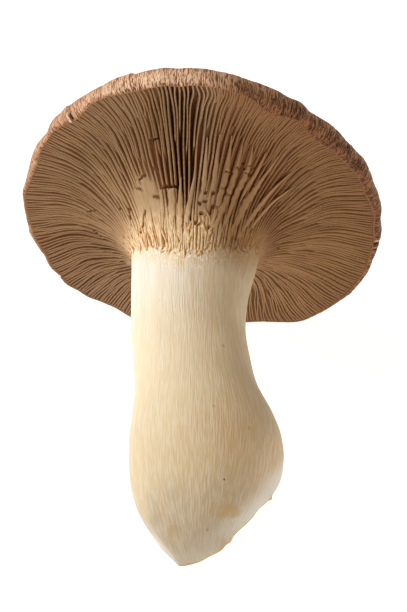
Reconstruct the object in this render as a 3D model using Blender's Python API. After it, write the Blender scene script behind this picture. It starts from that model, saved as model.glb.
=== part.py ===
"""King oyster mushroom as picked, lying on its side, in metres with +Z up.

The mushroom grew as one piece, so it is one closed solid: a stout stem with a knife-trimmed foot, a funnel
of gills that run down the neck, and a thick cap with a blunt margin. It is modelled upright in its own frame,
with the stem along +Z, the cap's margin centred on the origin, and on -Y the side that faces up when it lies.
Then it is laid down, so that the foot points to -Y and the cap stands on its lower margin.
"""

import math
import random

import bmesh
import bpy
from mathutils import Matrix, Vector

MM = 0.001

# Cap
CAP_LEAN = math.radians(10.0)
CROWN_HEIGHT = 12.2 * MM
CROWN_DIP = 3.4 * MM
DIP_REACH = 0.34
# Margin outline as (degrees round from +X towards -Y, millimetres from the middle)
MARGIN = [
    (2, 53.5), (14, 50.5), (27, 47.5), (37, 44.5), (51, 45.5), (60, 43.5), (74, 47.0), (95, 49.0),
    (115, 51.0), (128, 53.0), (137, 52.0), (147, 54.5), (163, 54.0), (180, 55.5), (198, 54.5), (218, 55.5),
    (238, 53.5), (250, 55.5), (268, 52.0), (288, 55.0), (303, 61.8), (312, 62.0), (335, 59.0), (348, 56.5),
]
# The blunt edge, round the cap in the same way, as (degrees, how far it stands out, how thick it is)
EDGE = [
    (0, 2.8, 8.0), (35, 2.8, 9.2), (65, 2.4, 9.2), (90, 2.0, 8.0), (115, 1.8, 7.8), (133, 1.4, 7.0),
    (150, 1.2, 5.6), (180, 1.0, 4.0), (210, 0.9, 4.2), (250, 1.2, 6.2), (300, 1.8, 7.6),
]
# Its rounding as (share of how far it stands out, share of the thickness), from the margin up to the shoulder
EDGE_SECTION = [(0.72, 0.12), (1.0, 0.42), (0.72, 0.72), (-0.55, 0.93)]
TOP_SHARES = (0.92, 0.80, 0.62, 0.42, 0.22)

# Gills
GILLS = 96
GILL_THICKNESS = 0.7 * MM
GILL_DEPTH = 3.4 * MM
DEEPEST_FROM = 0.30
SHALLOWER_FROM = 0.55
DEPTH_AT_MARGIN = 0.25
GILL_WAVE = math.radians(2.0)
WAVES_ROUND = 3
WAVE_TWIST = 4.0
GILL_JITTER = math.radians(0.5)
FUNNEL_POWER = 2.8
FUNNEL_SWELL = 0.9 * MM
LONG_GILL_SHARES = (0.07, 0.17, 0.29, 0.42)
ALL_GILL_SHARES = (0.52, 0.65, 0.80, 0.93)
SHORT_GILL_START = 0.42
SHORT_GILL_FULL = 0.62
# Height where the gills end on the neck, round the stem
COLLAR = [(0, -18.0), (50, -26.0), (90, -30.0), (130, -26.0), (180, -17.5), (270, -15.5)]

# Stem, as (height, sideways shift, half width), all in millimetres
STEM = [
    (-12.0, -1.6, 20.4), (-23.0, -1.9, 19.5), (-36.0, -3.2, 18.0), (-48.0, -3.6, 17.4), (-59.0, -2.5, 17.8),
    (-70.0, -1.0, 18.8), (-80.0, 0.9, 21.2), (-87.0, 1.7, 22.6), (-94.0, 2.0, 23.0), (-101.0, 1.7, 22.2),
    (-108.0, 1.2, 20.4), (-116.0, 0.2, 17.8), (-123.0, -1.4, 14.2), (-129.0, -3.2, 10.0), (-133.0, -4.4, 5.0),
]
STEM_RING_HEIGHTS = (-36, -44, -53, -62, -71, -79, -86, -93, -100, -107, -113, -119, -124, -129, -132)
STEM_DEPTH_RATIO = 0.93
NECK_RINGS = (0.5, 0.0)
# Knife cuts that trim the foot, as (point in millimetres, outward direction)
FOOT_CUTS = [
    ((-14.6, 0.0, -117.0), (-0.84, 0.19, -0.54)),
    ((7.6, 0.0, -118.8), (0.57, 0.60, -0.57)),
    ((-2.8, 0.0, -127.4), (0.19, 0.74, -0.65)),
]

# How it lies: on the cap's lower margin and on the belly of the stem, each pressed a little flat
PRESSED_FLAT = 0.6 * MM
CAP_FROM = -10.0 * MM
BELLY_TO = -60.0 * MM
LEVEL_STEPS = 24

SKIN, GILL, FLESH = 0, 1, 2
MATERIALS = [
    ("cap_skin", (0.36, 0.20, 0.12), 0.75),
    ("gills", (0.33, 0.20, 0.10), 0.80),
    ("stem_flesh", (0.80, 0.68, 0.48), 0.60),
]


def smooth(stations, at, period=None):
    """The value at a position on a soft curve through stations of (position, value, ...), one per column."""
    if period:
        first, last = stations[0], stations[-1]
        stations = (
            [(last[0] - period, *last[1:])] + stations + [(first[0] + period, *first[1:])]
            + [(stations[1][0] + period, *stations[1][1:])]
        )
        at = at % period
    spots = [s[0] for s in stations]
    k = 0
    while k < len(spots) - 2 and at > spots[k + 1]:
        k += 1
    span = spots[k + 1] - spots[k]
    u = min(max((at - spots[k]) / span, 0.0), 1.0)

    def slope(i, column):
        low, high = max(i - 1, 0), min(i + 1, len(spots) - 1)
        return (stations[high][column] - stations[low][column]) / (spots[high] - spots[low])

    values = []
    for column in range(1, len(stations[0])):
        a, b = stations[k][column], stations[k + 1][column]
        m, n = slope(k, column) * span, slope(k + 1, column) * span
        values.append(
            (2 * u**3 - 3 * u**2 + 1) * a + (u**3 - 2 * u**2 + u) * m
            + (3 * u**2 - 2 * u**3) * b + (u**3 - u**2) * n
        )
    return values[0] if len(values) == 1 else values


def ramp(value, low, high):
    """0 below low, 1 above high and a soft step between."""
    u = min(max((value - low) / (high - low), 0.0), 1.0)
    return u * u * (3 - 2 * u)


def outward(angle):
    return Vector((math.cos(angle), -math.sin(angle), 0.0))


def stem_point(angle, height):
    """A point on the stem's skin at a height in metres."""
    rising = [(-z, shift, half) for z, shift, half in STEM]
    shift, half = smooth(rising, -height / MM)
    side = outward(angle)
    return Vector((shift * MM + half * MM * side.x, half * MM * STEM_DEPTH_RATIO * side.y, height))


def collar_point(angle):
    """Where the gills end on the neck."""
    return stem_point(angle, smooth(COLLAR, math.degrees(angle), 360) * MM)


def margin_point(angle):
    """The edge where the gills meet the skin, on a plane that leans with the cap."""
    spot = outward(angle) * smooth(MARGIN, math.degrees(angle), 360) * MM
    return spot + Vector((0.0, 0.0, lean_height(spot)))


def lean_height(spot):
    return -spot.y * math.tan(CAP_LEAN)


def funnel_point(angle, share):
    """A gill's free edge, at a share of the way from the collar to the margin."""
    low, high = collar_point(angle), margin_point(angle)
    spot = low.lerp(high, share)
    rise = 1 - (1 - share) ** FUNNEL_POWER
    spot.z = low.z + (high.z - low.z) * rise + FUNNEL_SWELL * math.sin(math.pi * share)
    return spot


def valley_point(angle, share):
    """The floor between two gills, sunk into the flesh below the line of their edges."""
    step = 0.01
    before = funnel_point(angle, max(share - step, 0.0))
    after = funnel_point(angle, min(share + step, 1.0))
    run, side = after - before, outward(angle)
    inward = (Vector((0, 0, 1)) * run.dot(side) - side * run.z).normalized()
    depth = ramp(share, 0.0, DEEPEST_FROM) * (1 - (1 - DEPTH_AT_MARGIN) * ramp(share, SHALLOWER_FROM, 1.0))
    return funnel_point(angle, share) + inward * GILL_DEPTH * depth


def crown_point(angle, share):
    """A point on the cap's top, at a share of the way from its middle to the shoulder."""
    spot = outward(angle) * smooth(MARGIN, math.degrees(angle), 360) * MM * share
    shoulder = smooth(EDGE, math.degrees(angle), 360)[1] * MM
    height = CROWN_HEIGHT + (shoulder - CROWN_HEIGHT) * share ** 4
    dip = CROWN_DIP * math.exp(-((share / DIP_REACH) ** 2))
    return spot + Vector((0, 0, lean_height(spot) + height - dip))


def edge_point(angle, out_share, up_share):
    """A point on the blunt edge between the margin and the shoulder."""
    out, up = smooth(EDGE, math.degrees(angle), 360)
    return margin_point(angle) + (outward(angle) * out * out_share + Vector((0, 0, up * up_share))) * MM


def gill_angle(index, share, jitter):
    """Where a gill runs: evenly spaced, with a slow sway that its neighbours share and a draw of its own."""
    middle = 2 * math.pi * index / GILLS
    sway = GILL_WAVE * math.sin(WAVES_ROUND * middle + WAVE_TWIST * share)
    return middle + (sway + jitter) * math.sin(math.pi * share)


def plain_ring(bm, columns, place):
    """A ring of points as (place round it in gill widths, is a valley, vertex)."""
    ring = []
    for i in range(columns):
        ring.append((GILLS * i / columns, False, bm.verts.new(place(2 * math.pi * i / columns))))
    return ring


def gill_ring(bm, share, draws, with_short):
    """A ring that steps up and down over the gills: two points on each free edge and one in each valley."""
    ring = []
    half_turn = GILL_THICKNESS / 2
    for i in range(GILLS):
        angle = gill_angle(i, share, draws[i])
        after = gill_angle(i + 1, share, draws[(i + 1) % GILLS])
        edge = funnel_point(angle, share)
        turn = half_turn / edge.xy.length
        for side in (-1, 1):
            ring.append((i + 0.1 * side, False, bm.verts.new(funnel_point(angle + side * turn, share))))
        if not with_short:
            ring.append((i + 0.5, True, bm.verts.new(valley_point((angle + after) / 2, share))))
            continue
        ring.append((i + 0.25, True, bm.verts.new(valley_point(angle * 0.75 + after * 0.25, share))))
        middle = (angle + after) / 2
        full = ramp(share, SHORT_GILL_START, SHORT_GILL_FULL)
        for side in (-1, 1):
            spot = valley_point(middle + side * turn, share).lerp(
                funnel_point(middle + side * turn, share), full
            )
            ring.append((i + 0.5 + 0.1 * side, False, bm.verts.new(spot)))
        ring.append((i + 0.75, True, bm.verts.new(valley_point(angle * 0.25 + after * 0.75, share))))
    return ring


def join_rings(bm, first, second, material):
    """Closes the band between two rings, of unlike counts too, with triangles alike on a gill's two faces."""
    i = j = 0
    while i < len(first) or j < len(second):
        a, b = first[i % len(first)][2], second[j % len(second)][2]
        next_a, next_b = first[(i + 1) % len(first)], second[(j + 1) % len(second)]
        place_a = next_a[0] + GILLS * ((i + 1) // len(first))
        place_b = next_b[0] + GILLS * ((j + 1) // len(second))
        step_first = place_a < place_b or (place_a == place_b and next_a[1])
        if i >= len(first):
            step_first = False
        elif j >= len(second):
            step_first = True
        if step_first:
            face = bm.faces.new((a, next_a[2], b))
            i += 1
        else:
            face = bm.faces.new((a, next_b[2], b))
            j += 1
        face.material_index = material


def close_ring(bm, ring, tip, material):
    """Closes the end of the solid with a fan to one point."""
    last = bm.verts.new(tip)
    for k, (_, _, vertex) in enumerate(ring):
        face = bm.faces.new((vertex, ring[(k + 1) % len(ring)][2], last))
        face.material_index = material


def stem_rings(bm):
    """Rings from the foot up to the collar."""
    rings = [
        plain_ring(bm, GILLS // 2, lambda angle, z=z: stem_point(angle, z * MM))
        for z in reversed(STEM_RING_HEIGHTS)
    ]
    top = STEM_RING_HEIGHTS[0] * MM
    for share in NECK_RINGS:
        rings.append(plain_ring(
            bm, GILLS,
            lambda angle, s=share: stem_point(angle, collar_point(angle).z * (1 - s) + top * s),
        ))
    return rings


def cap_rings(bm):
    """Rings from the margin over the blunt edge to the middle of the top."""
    rings = [plain_ring(bm, GILLS, margin_point)]
    for out_share, up_share in EDGE_SECTION:
        rings.append(plain_ring(bm, GILLS, lambda angle, a=out_share, b=up_share: edge_point(angle, a, b)))
    for share in TOP_SHARES:
        rings.append(plain_ring(bm, GILLS // 2, lambda angle, s=share: crown_point(angle, s)))
    return rings


def grow_mushroom(bm):
    """The whole solid, upright: stem, gills and cap as one skin of rings."""
    draw = random.Random(7)
    draws = [draw.uniform(-GILL_JITTER, GILL_JITTER) for _ in range(GILLS)]
    stem = stem_rings(bm)
    gills = [gill_ring(bm, share, draws, False) for share in LONG_GILL_SHARES]
    gills += [gill_ring(bm, share, draws, True) for share in ALL_GILL_SHARES]
    cap = cap_rings(bm)
    close_ring(bm, stem[0], stem_point(0.0, STEM[-1][0] * MM).lerp(
        stem_point(math.pi, STEM[-1][0] * MM), 0.5), FLESH)
    for low, high in zip(stem, stem[1:]):
        join_rings(bm, low, high, FLESH)
    under = [stem[-1]] + gills + [cap[0]]
    for low, high in zip(under, under[1:]):
        join_rings(bm, low, high, GILL)
    for low, high in zip(cap, cap[1:]):
        join_rings(bm, low, high, SKIN)
    close_ring(bm, cap[-1], crown_point(0.0, 0.0), SKIN)
    bmesh.ops.recalc_face_normals(bm, faces=bm.faces)


def slice_off(bm, point, direction, material):
    """Cuts away what lies beyond a plane and closes the cut flat."""
    geometry = bm.verts[:] + bm.edges[:] + bm.faces[:]
    bmesh.ops.bisect_plane(
        bm, geom=geometry, dist=1e-7, plane_co=point, plane_no=direction, clear_outer=True
    )
    open_edges = [edge for edge in bm.edges if edge.is_boundary]
    filled = bmesh.ops.holes_fill(bm, edges=open_edges, sides=0)
    for face in filled["faces"]:
        face.material_index = material


def lying_turn(bm):
    """The turn about X that lays it on its side with the cap's margin and the stem's belly on one level."""
    cap = [v.co.copy() for v in bm.verts if v.co.z > CAP_FROM]
    belly = [v.co.copy() for v in bm.verts if v.co.z < BELLY_TO]
    flattest, steepest = math.radians(-90.0), math.radians(-45.0)
    for _ in range(LEVEL_STEPS):
        turn = Matrix.Rotation((flattest + steepest) / 2, 4, "X")
        if min((turn @ co).z for co in cap) > min((turn @ co).z for co in belly):
            steepest = (flattest + steepest) / 2
        else:
            flattest = (flattest + steepest) / 2
    return turn


def lay_down(bm):
    """Lays the mushroom on its side, presses the spots that it lies on flat and centres it on the ground."""
    bmesh.ops.transform(bm, matrix=lying_turn(bm), verts=bm.verts)
    ground = min(vertex.co.z for vertex in bm.verts) + PRESSED_FLAT
    slice_off(bm, Vector((0, 0, ground)), Vector((0, 0, -1)), FLESH)
    low = Vector(min(v.co[k] for v in bm.verts) for k in range(3))
    high = Vector(max(v.co[k] for v in bm.verts) for k in range(3))
    middle = Vector(((low.x + high.x) / 2, (low.y + high.y) / 2, low.z))
    bmesh.ops.translate(bm, vec=-middle, verts=bm.verts)


def add_material(mesh, name, colour, roughness):
    material = bpy.data.materials.new(name)
    material.use_nodes = True
    shader = material.node_tree.nodes["Principled BSDF"]
    shader.inputs["Base Color"].default_value = (*colour, 1.0)
    shader.inputs["Roughness"].default_value = roughness
    shader.inputs["Metallic"].default_value = 0.0
    mesh.materials.append(material)


def main():
    for thing in list(bpy.data.objects):
        bpy.data.objects.remove(thing)
    bm = bmesh.new()
    grow_mushroom(bm)
    for point, direction in FOOT_CUTS:
        slice_off(bm, Vector(point) * MM, Vector(direction).normalized(), FLESH)
    lay_down(bm)
    mesh = bpy.data.meshes.new("king_oyster_mushroom")
    bm.to_mesh(mesh)
    bm.free()
    for name, colour, roughness in MATERIALS:
        add_material(mesh, name, colour, roughness)
    mesh.shade_smooth()
    mesh.set_sharp_from_angle(angle=math.radians(50.0))
    mushroom = bpy.data.objects.new("king_oyster_mushroom", mesh)
    group = bpy.data.collections.new("king_oyster_mushroom")
    bpy.context.scene.collection.children.link(group)
    group.objects.link(mushroom)


main()
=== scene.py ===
"""A king oyster mushroom as picked, lying on its side on a pale floor. Metres, +Z up.

Each piece is modelled upright, with the stem along +Z and the middle of the cap's margin at the origin, and
is then laid down as the solid lies: on the cap's lower margin and on the belly of the stem. Angles run round
the stem from +X towards -Y, the side that faces up once it lies down. Along a gill a share of 0 is where it
ends on the neck and 1 is the cap's margin. Depth is measured into the flesh from the line of the gills' free
edges.
"""

import math

import bpy
import numpy as np
from mathutils import Matrix, Vector


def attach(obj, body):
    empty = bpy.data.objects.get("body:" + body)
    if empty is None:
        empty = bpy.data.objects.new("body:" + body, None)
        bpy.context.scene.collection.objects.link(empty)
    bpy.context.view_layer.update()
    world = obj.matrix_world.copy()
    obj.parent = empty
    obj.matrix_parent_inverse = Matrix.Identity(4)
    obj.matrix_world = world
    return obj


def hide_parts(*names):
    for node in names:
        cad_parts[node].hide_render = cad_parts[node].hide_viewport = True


MM = 0.001
TURN = 2 * math.pi
NODE = "king_oyster_mushroom"

# How it lies: the turn about X, and where the middle of the cap's margin then is
LYING_TURN = math.radians(-70.417)
MARGIN_MIDDLE = Vector((-0.68, 54.76, 52.94)) * MM

# Cap
CAP_LEAN = math.radians(10.0)
CROWN_HEIGHT = 12.2 * MM
CROWN_DIP = 3.4 * MM
DIP_REACH = 0.34
# Margin outline as (degrees round, millimetres from the middle)
MARGIN = [
    (2, 53.5), (14, 50.5), (27, 47.5), (37, 44.5), (51, 45.5), (60, 43.5), (74, 47), (95, 49),
    (115, 51), (128, 53), (137, 52), (147, 54.5), (163, 54), (180, 55.5), (198, 54.5), (218, 55.5),
    (238, 53.5), (250, 55.5), (268, 52), (288, 55), (303, 61.8), (312, 62.2), (323, 61.8), (335, 60),
    (348, 57),
]
# Its usual distance from the middle, and the small waves of the margin and the blunt edge, in millimetres
MARGIN_RADIUS = 55.0
MARGIN_WAVE = 0.4
EDGE_WAVE = 0.35
# The blunt edge as (degrees round, millimetres that it stands out, millimetres thick)
EDGE = [
    (0, 2.8, 8), (35, 2.8, 9.2), (65, 2.4, 9.2), (90, 2, 8), (115, 1.8, 7.8), (133, 1.4, 7),
    (150, 1.2, 5.6), (180, 1, 4), (210, 0.9, 4.2), (250, 1.2, 6.2), (300, 1.8, 7.6),
]
# Its rounding as (share of how far it stands out, share of the thickness), from the margin to the shoulder
EDGE_SECTION = [(0.0, 0.0), (0.72, 0.12), (1.0, 0.42), (0.72, 0.72), (-0.55, 0.93)]
# The edge follows the margin's bends softly, as a mean over these degrees to both sides
EDGE_SOFTENED = (-14, -7, 0, 7, 14)
# The lip under the margin, as the share where it starts and its depth
LIP_FROM = 0.982
LIP_DEPTH = 0.9 * MM
# Where the skin's lines lie on the top, as shares of the way from the middle
TOP_SHARES = (0.92, 0.8, 0.62, 0.42, 0.22, 0.0)
SKIN_COLUMNS = 960
SKIN_STEPS = 7
FIBRIL_RELIEF = 0.08
BUMP_RELIEF = 0.12

# Splits in the blunt edge, as (degrees round, millimetres wide, millimetres deep)
SPLITS = [(137.9, 0.6, 1), (343, 0.8, 0.9), (340.5, 0.5, 0.7), (215, 0.6, 0.7)]
# Bumps of the blunt edge, as (degrees round, millimetres wide, millimetres high)
BUMPS = [(114, 1, 0.35), (139.4, 1, 0.3), (50, 5, 0.2), (28, 5, 0.3)]

# Stem, as (depth below the margin, sideways shift, half width), all in millimetres
STEM = [
    (12, -1.6, 20.4), (23, -1.9, 19.5), (36, -3.2, 18), (48, -3.6, 17.4),
    (59, -2.5, 17.8), (70, -1, 18.8), (80, 0.9, 21.2), (87, 1.7, 22.6),
    (94, 2, 23), (101, 1.7, 22.2), (108, 1.2, 20.4), (116, 0.2, 17.8),
    (123, -1.4, 14.2), (129, -3.2, 10), (133, -4.4, 5),
]
STEM_DEPTH_RATIO = 0.93
STEM_GRID = (220, 260)
# How far the stem's mesh goes on under the gills, and how far it is drawn in there
STEM_OVERLAP = 1.5 * MM
STEM_TUCK = 0.35 * MM
FIBRE_RELIEF = 0.03 * MM
DENT_RELIEF = 0.22 * MM
FLUTE_RELIEF = 0.16 * MM
# Knife cuts that trim the foot, as (point in millimetres, outward direction, rounding in millimetres)
FOOT_CUTS = [
    ((-15.4, 0.0, -117), (-0.84, 0.19, -0.54), 1.4),
    ((7.6, 0.0, -118.8), (0.57, 0.6, -0.57), 0.5),
    ((-2.8, 0.0, -126.4), (0.19, 0.74, -0.65), 0.5),
]
# The two of them that face the viewer
FRONT_CUTS = (1, 2)
# Lumps left along the cut edge, as (point in millimetres, millimetres wide, millimetres high)
FOOT_LUMPS = [
    ((8.2, -5.6, -124.3), 1.5, 1.2), ((10.6, -4.8, -121), 1.6, -0.6), ((5.4, -6.5, -127.4), 3, 0.9),
    ((20.5, -3.6, -109), 0.9, 0.7), ((17.4, -5.4, -114.6), 3, -0.5),
]
LUMPS_TOWARDS = (0.72, 0.25, -0.65)

# Small specks on the stem and stains near the foot, as (point, reach in millimetres, colour, strength)
SPECKS = [
    ((7, -17.2, -110.8), 0.45, (0.08, 0.05, 0.04), 0.9),
    ((14.4, -18, -94), 0.9, (0.55, 0.33, 0.1), 0.6),
    ((4.1, -21, -88.4), 0.8, (0.6, 0.34, 0.17), 0.7),
    ((7.3, -14.6, -63.1), 0.7, (0.72, 0.3, 0.1), 0.8),
    ((2.1, -11.8, -124.3), 0.6, (0.3, 0.2, 0.12), 0.6),
    ((-12, -14.2, -46.3), 0.5, (0.6, 0.42, 0.25), 0.5),
    ((5.5, -14.2, -52.8), 0.6, (0.62, 0.42, 0.22), 0.5),
    ((-13.7, -14.5, -81.5), 0.5, (0.66, 0.48, 0.28), 0.5),
    ((20.4, -4.4, -108.8), 0.5, (0.2, 0.16, 0.15), 0.7),
    ((9.6, -5.6, -125), 2.6, (0.84, 0.77, 0.62), 0.9),
]
STAINS = [
    ((8.1, -13.3, -118.3), 5, (0.6, 0.42, 0.2), 0.8),
    ((-6.8, -11.2, -124.7), 3, (0.52, 0.38, 0.21), 0.4),
    ((-15.5, -8.2, -115), 4.5, (0.72, 0.55, 0.29), 0.5),
    ((6.5, -7.1, -126.5), 3, (0.6, 0.4, 0.22), 0.4),
]

# Funnel of gills
COLLAR = [(0, -18), (50, -26), (90, -30), (130, -26), (180, -17.5), (270, -15.5)]
FUNNEL_POWER = 2.8
FUNNEL_SWELL = 0.9 * MM
NECK_REACH = 34.0 * MM
LONG_GILLS = 120
PITCH = TURN / LONG_GILLS
# A gill that starts beyond this share is a short one
SHORT_FROM = 0.1
SWAY = math.radians(1.6)
GILL_PROUD = 0.3 * MM
GILL_CURL = 0.3 * MM
GILL_DEPTH = 4.3 * MM
DEEPEST_FROM = 0.22
SHALLOWER_FROM = 0.6
DEPTH_AT_MARGIN = 0.42
LAST_OF_GAP = 0.975
ROOT_SUNK = 0.35 * MM
# A blade's thickness as (share, millimetres)
THICKNESS = [(-0.1, 0.55), (0.05, 0.72), (0.3, 0.56), (0.6, 0.54), (1.0, 0.58)]
# A blade's section as (share of its depth, share of half its thickness), from one root over the edge
BLADE_SECTION = [(1.0, 1.35), (0.45, 1.05), (0.08, 0.85), (0.0, 0.0)]
# Where the gills between two long ones start, the longer one and the short one, as (degrees, two shares)
STARTS = [
    (0, 0.2, 0.42), (40, 0.38, 0.58), (65, 0.46, 0.68), (88, 0.4, 0.66), (100, 0.34, 0.62),
    (115, 0.28, 0.56), (135, 0.22, 0.44), (180, 0.16, 0.38), (270, 0.22, 0.5),
]
# How deep the gaps are round the funnel, as (degrees round, share of the full depth)
DEPTH_ROUND = [
    (0, 0.23), (40, 0.2), (66, 0.18), (80, 0.23), (88, 0.38), (94, 0.84), (100, 0.88), (105, 0.46),
    (116, 0.25), (150, 0.23), (200, 0.24), (240, 0.26), (290, 0.25), (330, 0.24),
]
# How far the free edges lean round the stem, as (degrees round, millimetres)
LEAN = [
    (0, -1.1), (40, -1.4), (70, -1.9), (86, -1.8), (92, -0.6), (98, 0.0), (104, 0.5), (116, 1.4),
    (150, 1.3), (180, 1.1), (230, 0.6), (270, 0.0), (310, -0.6),
]
# How far gills swing round behind the neck before they reach it, as (degrees at the margin, degrees)
SWING = [
    (0, 0.0), (200, 0.0), (235, 0.0), (262, 6), (280, 18), (292, 22), (305, 15), (320, 6),
    (340, 0.0),
]
# How many gills stand between two long ones, as (degrees round, share where there are two)
THREES = [
    (0, 1), (40, 1), (62, 0.8), (84, 0.5), (92, 0.1), (104, 0.2), (116, 0.7), (130, 1), (270, 0.9),
]
# Where the gills are worn down and grown together, as (degrees, share, degrees wide, share long, wear)
WORN = [
    (129, 0.17, 15, 0.13, 1), (122, 0.08, 13, 0.12, 1), (79.5, 0.125, 9.5, 0.115, 1),
    (310, 0.12, 25, 0.1, 0.4), (222, 0.2, 14, 0.12, 0.7),
]
# Where the flesh closes over the worn gills, as shares of the wear, and how ragged its border is
CLOSES = (0.4, 0.85)
CLOSES_RAGGED = 0.22
CLOSED_OVER = 0.08 * MM
# The flesh between the gills: its mesh, where it starts and how far it lies below the gaps
FLESH_GRID = (132, 600)
FLESH_START = -0.03
FLESH_BELOW = 0.12 * MM
GROWN_RELIEF = 0.13 * MM
# Cracks across the gills, as (degrees, share) at one end and then at the other
CRACKS = [
    (113.5, 0.463, 109, 0.463), (113.5, 0.463, 113, 0.437), (114, 0.302, 111.5, 0.286),
    (111.5, 0.286, 112.5, 0.27), (128, 0.262, 122.5, 0.278), (128, 0.262, 127, 0.245),
    (132, 0.238, 127.5, 0.214), (120, 0.178, 115.5, 0.172), (156, 0.214, 153.5, 0.187),
    (146, 0.165, 143, 0.15), (192, 0.392, 195, 0.335), (178, 0.415, 174.5, 0.35),
    (129, 0.13, 133, 0.105), (133, 0.105, 135, 0.08), (135, 0.08, 142, 0.05),
    (146, 0.14, 148.5, 0.11), (112, 0.213, 101.5, 0.211), (82.5, 0.19, 80, 0.188),
    (78, 0.192, 74.5, 0.19), (71.5, 0.228, 66.5, 0.212), (63.5, 0.203, 59, 0.186),
    (69.5, 0.3, 65.5, 0.302), (64, 0.332, 62, 0.345), (62, 0.345, 58.5, 0.352),
    (58.5, 0.382, 53.5, 0.372), (54.5, 0.327, 50.5, 0.311), (85.5, 0.15, 83.5, 0.146),
    (82.5, 0.157, 79.5, 0.155), (74.5, 0.142, 71, 0.137), (84, 0.115, 81.5, 0.112),
    (78, 0.115, 75.5, 0.112), (87, 0.082, 84, 0.08), (77, 0.067, 73.5, 0.064),
    (75.5, 0.113, 75, 0.145), (20.5, 0.252, 18.5, 0.248), (244, 0.42, 250, 0.4),
    (268, 0.3, 273, 0.32), (222, 0.24, 225, 0.25), (337, 0.22, 341, 0.21),
]
# Bands of gills grown together side by side, each as stops of (degrees, share, millimetres wide)
BANDS = [
    [(113.6, 0.203, 1.3), (114.2, 0.12, 1.5), (117, 0.05, 1.2), (118.5, -0.01, 0.5)],
    [(105.6, 0.204, 2.5), (106, 0.13, 2.8), (108, 0.06, 1.9), (109.5, 0.0, 0.7)],
    [(98.6, 0.25, 0.5), (99.2, 0.19, 1.2), (99.5, 0.12, 2.2), (100.8, 0.06, 1.8), (102.5, -0.01, 0.7)],
    [(89.2, 0.3, 0.5), (89.6, 0.24, 0.8), (91.5, 0.17, 1.5), (94, 0.1, 1.9), (95, 0.05, 1.6),
     (95.5, -0.02, 0.7)],
    [(70.5, 0.52, 0.6), (69.5, 0.44, 0.9), (68.8, 0.36, 1.5), (68, 0.28, 2), (69.5, 0.2, 2),
     (71.5, 0.12, 1.5), (75, 0.04, 1), (77, -0.02, 0.5)],
    [(63.5, 0.54, 0.6), (62.5, 0.46, 0.9), (62, 0.38, 1.5), (62, 0.28, 2.1), (63.5, 0.2, 2.2),
     (66.5, 0.13, 2.2), (70, 0.07, 1.5), (74, 0.0, 0.6)],
    [(57, 0.52, 0.6), (55.5, 0.44, 0.9), (54.5, 0.36, 1.6), (55, 0.28, 2.2), (57.5, 0.2, 2),
     (60, 0.12, 1.5), (63.5, 0.05, 1.2), (67, -0.02, 0.5)],
    [(40.5, 0.56, 0.5), (40.5, 0.46, 0.8), (41.5, 0.36, 1.2), (44, 0.26, 2.3), (47.5, 0.185, 3),
     (51, 0.1, 2.4), (56, 0.035, 1.4), (59, -0.02, 0.6)],
    [(28, 0.5, 0.5), (29, 0.4, 0.8), (31, 0.31, 1.1), (33.5, 0.22, 1.8), (37, 0.15, 2.1),
     (41.5, 0.09, 1.9), (47, 0.03, 1.2), (50, -0.02, 0.5)],
    [(48.5, 0.5, 0.5), (48, 0.42, 1), (48.5, 0.33, 1.4), (51, 0.25, 1.3), (53, 0.18, 0.7)],
    [(20, 0.42, 0.5), (22, 0.33, 0.9), (26, 0.23, 1.3), (30.5, 0.14, 1.4), (36, 0.07, 1.2),
     (42, 0.0, 0.5)],
    [(77, 0.5, 0.6), (76.5, 0.4, 1), (75.8, 0.3, 1.6), (75.5, 0.2, 1.7)],
    [(83.5, 0.46, 0.6), (83, 0.36, 1), (82.5, 0.26, 1.6), (82.5, 0.195, 1.9)],
]
# Sections of a band and of a tooth of the fringe, as (share of half the width, share of the height)
BAND_SECTION = [
    (-1, -1), (-1, -0.3), (-0.85, 0.5), (-0.45, 0.95), (0.2, 0.9), (0.7, 0.9), (1, 0.0), (1, -1),
]
TOOTH_SECTION = [(1, -0.5), (0.8, 0.5), (0.3, 1), (-0.25, 0.9), (-0.75, 0.35), (-1, -0.5)]
BAND_STEPS = 12
BAND_PROUD = 0.3 * MM
BAND_LOWERED = 0.1 * MM
BAND_SUNK = 1.1 * MM
TOOTH_STEPS = 18
TOOTH_SUNK = 0.1 * MM
# Where the fringe reaches further up the gills or less far, as (degrees, degrees wide, share more)
FRINGE_REACH = [(135, 25, 0.04), (80, 11, -0.07)]
FRINGES = 120
CRUMBS = 110
CRACK_WIDTH = 0.2
CRACK_DEPTH = 1.1 * MM
# Sizes by which cracks are measured: the neck, the growth up to the margin and a gill, in millimetres
NECK_RADIUS = 19.5
FUNNEL_GROWTH = 30.0
GILL_LENGTH = 45.0
SEED = 11

# Soft random fields, as (seed, cells round, cells along)
FIELD_CELLS = {
    "fibres": (21, 170, 9), "dents": (22, 14, 7), "flutes": (23, 64, 3), "sway": (31, 9, 3),
    "curl": (32, 36, 6), "nibble": (33, 300, 50), "fibrils": (41, 400, 30), "bumps": (42, 40, 14),
    "ragged": (51, 70, 22), "waves": (52, 74, 1), "grown": (53, 170, 20), "edge": (54, 52, 1),
}

# Stage, lights as (name, place, aim, size, power, colour) and camera
FLOOR_SIZE = 2.5
FLOOR_DROP = 0.05 * MM
FLOOR_GLOW = 0.91
LIGHTS = [
    ("key", (-0.53, 0.09, 0.50), (0, 0.0, 0.04), 0.36, 4.45, (1.0, 0.97, 0.93)),
    ("fill", (0.50, -0.75, 0.38), (0, 0.02, 0.04), 0.6, 2.4, (1.0, 0.86, 0.68)),
]
SKY_COLOUR = (1.0, 0.90, 0.76, 1.0)
SKY_STRENGTH = 0.18
CAMERA_RISE = math.radians(36.02)
CAMERA_AIM = Vector((0.43, 18.27, 39.96)) * MM
CAMERA_DISTANCE = 0.8
CAMERA_LENS = 152.79


def ease(u):
    """A soft step from 0 to 1."""
    return u * u * (3 - 2 * u)


def ramp(value, low, high):
    """0 below low, 1 above high and a soft step between."""
    return ease(np.clip((value - low) / (high - low), 0.0, 1.0))


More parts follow.
